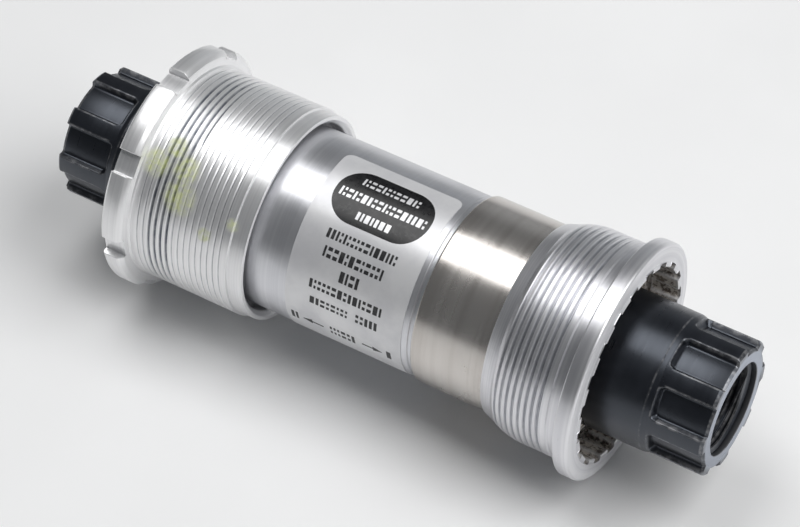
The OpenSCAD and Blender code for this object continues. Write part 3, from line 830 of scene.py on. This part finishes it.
def left_cup(material):
    """The loose cup: a notched flange, a tool mouth, a long thread and a bore that slides on the tube."""
    skin = Skin()
    notches = Outline(NOTCHES, NOTCH_TURN, NOTCH_HALF, NOTCH_FLOOR_R, LEFT_FLANGE_R, (0.25, 0.22), 1, 31)
    mouth = tool_mouth()
    lip = LEFT_OUTER + 4.4
    rings = [skin.cut_ring(lip - 0.3, mouth, grime_and_shade=GREASED)]
    for inward, least, grime_and_shade in reversed(MOUTH_EDGE):
        rings.append(skin.cut_ring(LEFT_OUTER + inward, mouth, least, grime_and_shade=grime_and_shade))
    rings += [
        skin.round_ring(LEFT_OUTER, TOOTH_ROOT_R + 0.7, CUP_COLUMNS),
        skin.cut_ring(LEFT_OUTER, notches, most=LEFT_FLANGE_R - 0.42),
        skin.cut_ring(LEFT_OUTER + 0.1, notches, most=LEFT_FLANGE_R - 0.28),
        skin.cut_ring(LEFT_OUTER + 0.35, notches, most=LEFT_FLANGE_R - 0.04),
        skin.cut_ring(LEFT_OUTER + 0.5, notches),
        skin.cut_ring(LEFT_FACE - 0.85, notches),
        skin.cut_ring(LEFT_FACE - 0.72, notches, most=LEFT_FLANGE_R - 0.05),
        skin.cut_ring(LEFT_FACE - 0.15, notches, most=LEFT_FLANGE_R - 0.55),
        skin.cut_ring(LEFT_FACE, notches, most=LEFT_FLANGE_R - 0.75),
        # grime 0.2 paints a faint shade in the corner under the flange face
        skin.round_ring(LEFT_FACE, NECK_R + 0.2, CUP_COLUMNS, grime_and_shade=0.2),
        skin.round_ring(LEFT_FACE + 0.06, NECK_R + 0.04, CUP_COLUMNS, grime_and_shade=0.2),
        skin.round_ring(LEFT_FACE + 0.22, NECK_R - 0.03, CUP_COLUMNS),
        skin.round_ring(LEFT_FACE + 0.35, THREAD_R, CUP_COLUMNS),
        skin.round_ring(LEFT_THREAD - 0.02, THREAD_R, CUP_COLUMNS),
    ]
    skin.chain(rings)
    low, high = skin.helix(
        LEFT_THREAD, LEFT_TURNS, PITCH, thread_groove(0.66), lambda x: np.full(np.shape(x), THREAD_R),
        left_thread_depth, THREAD_COLUMNS, 1)
    skin.zip(rings[-1], low)
    thread_end = LEFT_THREAD + (LEFT_TURNS + 1) * PITCH
    nose = skin.profile(rounded([
        (thread_end + 0.03, THREAD_R, 0), (PLAIN_START, THREAD_R, 0.08), (PLAIN_START + 0.12, PLAIN_R, 0.08),
        (LEFT_RIM, PLAIN_R, 0.14), (LEFT_RIM, RIM_BORE_R + 0.75, 0.1), (LEFT_RIM - 0.7, RIM_BORE_R, 0.2),
        (PLAIN_START - 0.1, RIM_BORE_R, 0.2), (PLAIN_START - 1.1, GUIDE_R, 0.2), (lip + 1.2, GUIDE_R, 0),
        (lip + 1.2, LIP_R, 0.15), (lip, LIP_R, 0.15), (lip, TOOTH_ROOT_R, 0),
    ], closed=False), THREAD_COLUMNS)
    skin.zip(high, nose[0])
    skin.chain(nose)
    skin.zip(nose[-1], rings[0])
    return skin.build("left_cup_turned", "left_cup", material, "cup_aluminium", "left_cup")


# ---- label ----

def wrapped(skin, stations, low_r, high_r, columns):
    """A thin plate bent round the axis. At each station (x, first angle, last angle) it fills that arc."""
    count = len(stations)
    layers = []
    for radius in (low_r, high_r):
        grid = np.zeros((count, columns), int)
        for k, (x, first, last) in enumerate(stations):
            grid[k] = skin.add(x, np.radians(np.linspace(first, last, columns)), radius)
        layers.append(grid)
        skin.faces += np.stack(
            [grid[:-1, :-1], grid[:-1, 1:], grid[1:, 1:], grid[1:, :-1]], -1).reshape(-1, 4).tolist()
    edges = [np.concatenate([g[0, :-1], g[:-1, -1], g[-1, :0:-1], g[:0:-1, 0]]) for g in layers]
    low, high = edges
    skin.faces += np.stack([low, np.roll(low, -1), np.roll(high, -1), high], -1).tolist()


def rounded_plate(x0, x1, first, last, corner, radius, steps=5):
    """Stations of a rectangle with rounded corners, from x0 to x1 and between two angles in degrees."""
    turn = math.degrees(1 / radius)
    stations = []
    for k in range(steps + 1):
        bend = math.pi / 2 * k / steps
        inset = corner * (1 - math.sin(bend)) * turn
        stations.append((x0 + corner * (1 - math.cos(bend)), first + inset, last - inset))
    mirrored = [(x1 - (x - x0), a, b) for x, a, b in reversed(stations)]
    return stations + mirrored


def label_sheet(material):
    skin = Skin()
    sheet = rounded_plate(LABEL_START, LABEL_END, LABEL_TOP, LABEL_FOOT, LABEL_CORNER, LABEL_R)
    wrapped(skin, sheet, LABEL_UNDER_R, LABEL_R, 97)
    return skin.build("label_sheet", "cartridge", material, "label_foil", "label")


def label_badge(material):
    skin = Skin()
    wrapped(skin, rounded_plate(*BADGE, BADGE_CORNER, PRINT_R, 12), PRINT_UNDER_R, PRINT_R, 33)
    return skin.build("label_badge", "cartridge", material, "label_foil")


def dashes(skin, rng, x0, x1, middle, height, radius):
    """A row of plain blocks and split blocks from x0 to x1, about an angle in degrees."""
    widths = (0.35, 0.5, 0.75)
    gap = 0.3
    corner = 0.06
    turn = math.degrees(1 / radius)
    first, last = middle - height / 2 * turn, middle + height / 2 * turn
    split = 0.16 * height * turn
    x = x0
    while x < x1 - widths[0]:
        width = min(rng.choice(widths), x1 - x)
        if rng.random() < 0.5:
            blocks = [(first, middle - split, 5), (middle + split, last, 5)]
        else:
            blocks = [(first, last, 7)]
        for low, high, columns in blocks:
            block = rounded_plate(x, x + width, low, high, corner, radius, 2)
            wrapped(skin, block, PRINT_UNDER_R, radius, columns)
        x += width + gap


def arrow(skin, tip, tail, middle, radius):
    """A plain arrow along X from tail to tip."""
    head_length = 1.6
    tip_half, head_half, shaft_half = 0.03, 0.55, 0.14
    turn = math.degrees(1 / radius)
    neck = tip - math.copysign(head_length, tip - tail)
    head = [(tip, tip_half), (neck, head_half)]
    shaft = [(neck, shaft_half), (tail, shaft_half)]
    for part in (head, shaft):
        stations = sorted((x, middle - half * turn, middle + half * turn) for x, half in part)
        wrapped(skin, stations, PRINT_UNDER_R, radius, 5)


def label_print(material):
    """Rows of plain marks, as (x from and to, angle, height), and two arrows for the sides."""
    skin = Skin()
    rng = random.Random(7)
    rows = [
        (-7.4, 4.5, 128.6, 1.5), (-6.9, 3.6, 139.2, 1.7), (-3.2, 0.1, 150.0, 1.8), (-7.8, 4.7, 161.0, 1.5),
        (-7.4, -0.7, 172.4, 1.3), (0.6, 4.4, 172.0, 1.5),
        (-10.9, -9.7, 193.5, 1.9), (-4.0, 0.7, 193.0, 1.9), (5.9, 7.3, 192.5, 1.9),
    ]
    for x0, x1, middle, height in rows:
        dashes(skin, rng, x0, x1, middle, height, PRINT_R)
    arrow(skin, -8.8, -5.2, 193.2, PRINT_R)
    arrow(skin, 5.1, 1.6, 192.7, PRINT_R)
    return skin.build("label_print", "cartridge", material, "label_foil")


def badge_print(material):
    skin = Skin()
    rng = random.Random(3)
    for x0, x1, middle, height in ((-6.4, 3.3, 91.4, 1.3), (-8.8, 5.9, 102.3, 1.5), (-4.4, 1.5, 113.2, 1.3)):
        dashes(skin, rng, x0, x1, middle, height, BADGE_PRINT_R)
    return skin.build("label_badge_print", "cartridge", material, "label_foil")


# ---- hidden pieces ----

def finish_node(node, material):
    """Gives a carried-over CAD node its material."""
    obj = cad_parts[node]
    if not obj.data.materials:
        obj.data.materials.append(material)
    for slot in obj.material_slots:
        slot.link = "OBJECT"
        slot.material = material
    obj.data.shade_smooth()
    obj.data.set_sharp_from_angle(angle=math.radians(32))


def finish_hidden_nodes():
    finishes = {
        "needle_sleeve": bearing_metal("drawn_steel", (0.62, 0.62, 0.62), (0.50, 0.50, 0.50), 0.25),
        "needle_rollers": bearing_metal("roller_steel", (0.80, 0.80, 0.81), (0.70, 0.70, 0.71), 0.10),
        "needle_cage": bearing_metal("pressed_cage_steel", (0.45, 0.45, 0.46), (0.34, 0.34, 0.35), 0.35),
        "ball_race": bearing_metal("race_steel", (0.70, 0.70, 0.70), (0.58, 0.58, 0.58), 0.15),
        "balls": bearing_metal("ball_steel", (0.86, 0.86, 0.87), (0.78, 0.78, 0.79), 0.05),
        "ball_cage": moulded("cage_nylon", (0.40, 0.30, 0.14), (0.52, 0.41, 0.22), 0.38, 4.0),
        "snap_ring": bearing_metal("spring_steel", (0.16, 0.17, 0.20), (0.09, 0.10, 0.12), 0.30),
        "seal": moulded(
            "seal_rubber", (0.012, 0.012, 0.013), (0.022, 0.022, 0.024), 0.55, 6.0, specular=0.35),
    }
    for side in ("right", "left"):
        for part, material in finishes.items():
            finish_node(f"{side}_{part}", material)
    finish_node("spacer_sleeve", moulded("spacer_plastic", (0.13, 0.13, 0.14), (0.18, 0.18, 0.19), 0.42, 3.0))
    finish_node("preload_washer", bearing_metal("washer_steel", (0.20, 0.21, 0.23), (0.12, 0.13, 0.15), 0.28))


# ---- studio ----

def floor():
    """A pale board under the bracket, wide enough to fill every view."""
    finish = Finish("studio_floor")
    grain = finish.noise(0.02, 3.0)
    colour = finish.mix(finish.ramp(grain, 0.3, 0.7), (0.90, 0.90, 0.90), (0.93, 0.93, 0.93))
    material = finish.shade(base_color=colour, roughness=0.7, specular=0.2)
    half = 4.0
    level = cad_box[0].z
    mesh = bpy.data.meshes.new("studio_floor")
    corners = [(-half, -half, level), (half, -half, level), (half, half, level), (-half, half, level)]
    mesh.from_pydata(corners, [], [(0, 1, 2, 3)])
    mesh.materials.append(material)
    board = bpy.data.objects.new("studio_floor", mesh)
    bpy.context.scene.collection.objects.link(board)


def area_light(name, place, target, width, height, radiance):
    """A flat soft light of that radiance, in watts per square metre and steradian."""
    light = bpy.data.lights.new(name, "AREA")
    light.shape = "RECTANGLE"
    light.size = width
    light.size_y = height
    light.energy = radiance * math.pi * width * height
    lamp = bpy.data.objects.new(name, light)
    lamp.location = place
    lamp.rotation_mode = "QUATERNION"
    lamp.rotation_quaternion = (Vector(target) - Vector(place)).to_track_quat("-Z", "Y")
    bpy.context.scene.collection.objects.link(lamp)


def room():
    """The dim room beyond the lights, with a paler wall low down behind the bracket."""
    world = bpy.data.worlds.new("room")
    world.use_nodes = True
    tree = world.node_tree
    way = tree.nodes.new("ShaderNodeTexCoord")
    parts = tree.nodes.new("ShaderNodeSeparateXYZ")
    depth = tree.nodes.new("ShaderNodeMapRange")
    depth.interpolation_type = "SMOOTHSTEP"
    for socket, value in (("From Min", 0.78), ("From Max", 0.96), ("To Min", 0.11), ("To Max", 0.34)):
        depth.inputs[socket].default_value = value
    tree.links.new(way.outputs["Generated"], parts.inputs[0])
    tree.links.new(parts.outputs["Y"], depth.inputs["Value"])
    tree.links.new(depth.outputs[0], tree.nodes["Background"].inputs["Strength"])
    tree.nodes["Background"].inputs["Color"].default_value = (0.92, 0.96, 1.0, 1)
    bpy.context.scene.world = world


def studio():
    floor()
    area_light("overhead_softbox", (-0.18, 0.03, 0.50), (-0.18, 0.03, 0), 0.34, 0.33, 3.5)
    area_light("side_softbox", (0.42, 0.05, 0.50), (0, 0, 0), 0.5, 0.6, 3.6)
    room()
    bpy.context.scene.view_settings.view_transform = "Standard"


def camera():
    azimuth = math.radians(AZIMUTH)
    elevation = math.radians(ELEVATION)
    level = math.cos(elevation)
    back = Vector((math.sin(azimuth) * level, -math.cos(azimuth) * level, math.sin(elevation)))
    right = Vector((math.cos(azimuth), math.sin(azimuth), 0))
    data = bpy.data.cameras.new("photo_view")
    data.lens = LENS
    data.sensor_width = 36
    data.clip_start = 0.01
    data.clip_end = 20
    eye = bpy.data.objects.new("photo_view", data)
    eye.location = back * DISTANCE + right * AIM_RIGHT
    eye.rotation_mode = "QUATERNION"
    eye.rotation_quaternion = (-back).to_track_quat("-Z", "Y")
    bpy.context.scene.collection.objects.link(eye)
    bpy.context.scene.camera = eye


# ---- the scene ----

camera()
studio()

# Paint smudges on the left cup: x, angle in degrees, and size
SMUDGES = [
    (-36.4, 131, 3.4), (-31.0, 143, 4.2), (-31.4, 129, 3.4), (-34.3, 120, 2.6), (-25.4, 156, 1.7),
    (-21.2, 145, 1.6),
]
# The number after metallic is how strongly painted shade darkens the groove floors
right_metal = cup_aluminium("right_cup_aluminium", (0.80, 0.80, 0.82), (0.66, 0.66, 0.69), 0.88, 0.45)
left_metal = cup_aluminium("left_cup_aluminium", (0.90, 0.90, 0.905), (0.78, 0.78, 0.79), 0.74, 0.9, SMUDGES)
foil = label_foil()
grease = greasy_cover()

main_shell(satin_steel())
bearing_housing(polished_steel())
dust_cover("right", grease)
dust_cover("left", grease)
spindle(black_steel())
right_cup(right_metal)
left_cup(left_metal)
label_sheet(foil)
label_badge(ink("badge_ink", (0.005, 0.005, 0.006), (0.014, 0.014, 0.016), 0.25))
label_print(ink("print_ink", (0.02, 0.02, 0.022), (0.06, 0.06, 0.06), 0.4))
badge_print(foil)
finish_hidden_nodes()
